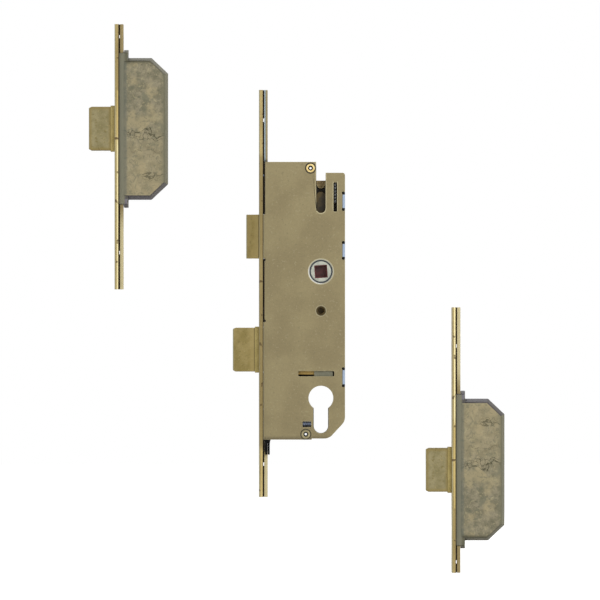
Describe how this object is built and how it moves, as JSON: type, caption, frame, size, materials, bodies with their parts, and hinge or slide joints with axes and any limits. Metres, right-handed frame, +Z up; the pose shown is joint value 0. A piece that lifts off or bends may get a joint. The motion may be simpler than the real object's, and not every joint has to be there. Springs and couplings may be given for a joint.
{
  "type": "multipoint door lock",
  "caption": "Multipoint door lock: case with latch and deadbolt on a narrow strip, and two cast boxes whose bolts a drive rail throws.",
  "frame": {"origin": "axis of the spindle square, at the middle of the lock case's thickness", "axes": "+Z up the door along the strip, +X from the door's edge into the door, -Y towards the side with the case cover"},
  "size_m": [0.3022, 0.02, 0.3984],
  "materials": {
    "passivated_sheet": "olive yellow passivated zinc on pressed steel, mottled",
    "passivated_strip": "yellow passivated rolled steel strip",
    "rail_steel": "beige passivated steel",
    "zinc_steel": "bright zinc",
    "cast_box": "mottled yellow passivated zinc casting",
    "bolt_metal": "brass-toned, matt",
    "follower_metal": "grey sintered steel",
    "red_nylon": "moulded nylon",
    "dark_metal": "dark brown",
    "spring_steel": "drawn wire",
    "screw_steel": "blue-white zinc",
    "black_plastic": "moulded"
  },
  "bodies": {
    "case": {"centre_faceplate": "passivated_strip", "case_tray": "passivated_sheet", "case_cover": "passivated_sheet", "case_rivet_upper": "bolt_metal", "case_rivet_lower": "passivated_sheet", "rail_guide": "black_plastic", "fixing_blocks": "zinc_steel", "case_screws": "screw_steel", "cylinder_screw": "screw_steel", "handle_post": "dark_metal", "latch_guide": "zinc_steel", "latch_spring": "spring_steel", "deadbolt_collar": "passivated_sheet", "tumbler_posts": "zinc_steel", "tumbler_spring_stop": "zinc_steel", "tumbler_spring": "spring_steel", "lever_spring": "spring_steel", "lever_spring_pin": "zinc_steel", "plunger_guide": "dark_metal", "upper_faceplate": "passivated_strip", "upper_box_casing": "cast_box", "upper_box_cover": "zinc_steel", "upper_cover_screws": "screw_steel", "upper_bolt_collar": "passivated_sheet", "upper_box_screws": "screw_steel", "lower_faceplate": "passivated_strip", "lower_box_casing": "cast_box", "lower_box_cover": "zinc_steel", "lower_cover_screws": "screw_steel", "lower_bolt_collar": "passivated_sheet", "lower_box_screws": "screw_steel"},
    "centre_drive": {"centre_rail": "rail_steel", "drive_slide": "zinc_steel", "drive_slide_rivets": "zinc_steel"},
    "handle_follower": {"follower": "follower_metal", "follower_sleeve": "red_nylon"},
    "latch": {"latch_bolt": "bolt_metal", "latch_tail": "zinc_steel"},
    "deadbolt": {"deadbolt": "bolt_metal", "deadbolt_tail": "bolt_metal", "deadbolt_rivets": "zinc_steel"},
    "tumbler": {"tumbler": "zinc_steel"},
    "plunger": {"lever_plunger": "zinc_steel"},
    "upper_drive": {"upper_rail": "rail_steel", "upper_cam_carrier": "zinc_steel", "upper_carrier_rivets": "zinc_steel"},
    "upper_bolt": {"upper_bolt": "bolt_metal", "upper_bolt_pin": "screw_steel"},
    "lower_drive": {"lower_rail": "rail_steel", "lower_cam_carrier": "zinc_steel", "lower_carrier_rivets": "zinc_steel"},
    "lower_bolt": {"lower_bolt": "bolt_metal", "lower_bolt_pin": "screw_steel"}
  },
  "joints": [
    {"name": "centre_rail_slide", "type": "slide", "parent": "case", "child": "centre_drive", "axis": [0, 0, 1], "range_m": [0, 0.019]},
    {"name": "follower_turn", "type": "hinge", "parent": "case", "child": "handle_follower", "pos_m": [0, 0, 0], "axis": [0, 1, 0], "range_deg": [0, 60]},
    {"name": "upper_rail_slide", "type": "slide", "parent": "case", "child": "upper_drive", "axis": [0, 0, 1], "range_m": [0, 0.019]},
    {"name": "lower_rail_slide", "type": "slide", "parent": "case", "child": "lower_drive", "axis": [0, 0, 1], "range_m": [0, 0.019]},
    {"name": "upper_bolt_slide", "type": "slide", "parent": "case", "child": "upper_bolt", "axis": [1, 0, 0], "range_m": [0, 0.019]},
    {"name": "lower_bolt_slide", "type": "slide", "parent": "case", "child": "lower_bolt", "axis": [1, 0, 0], "range_m": [0, 0.019]},
    {"name": "latch_slide", "type": "slide", "parent": "case", "child": "latch", "axis": [1, 0, 0], "range_m": [0, 0.0093], "stiffness_N_per_m": 500, "springref_m": -0.008, "deforming": ["latch_spring"]},
    {"name": "deadbolt_slide", "type": "slide", "parent": "case", "child": "deadbolt", "axis": [1, 0, 0], "range_m": [0, 0.019]},
    {"name": "tumbler_lift", "type": "slide", "parent": "case", "child": "tumbler", "axis": [0, 0, 1], "range_m": [0, 0.003], "stiffness_N_per_m": 200, "springref_m": -0.003, "deforming": ["tumbler_spring"]},
    {"name": "plunger_lift", "type": "slide", "parent": "case", "child": "plunger", "axis": [0, 0, 1], "range_m": [0, 0.006], "stiffness_N_per_m": 1000, "springref_m": -0.005, "deforming": ["lever_spring"]}
  ],
  "couplings": [
    {"joint": "follower_turn", "follows": "centre_rail_slide", "rad_per_m": 55.116},
    {"joint": "upper_rail_slide", "follows": "centre_rail_slide", "ratio": 1},
    {"joint": "lower_rail_slide", "follows": "centre_rail_slide", "ratio": 1},
    {"joint": "upper_bolt_slide", "follows": "centre_rail_slide", "ratio": 1},
    {"joint": "lower_bolt_slide", "follows": "centre_rail_slide", "ratio": 1}
  ]
}
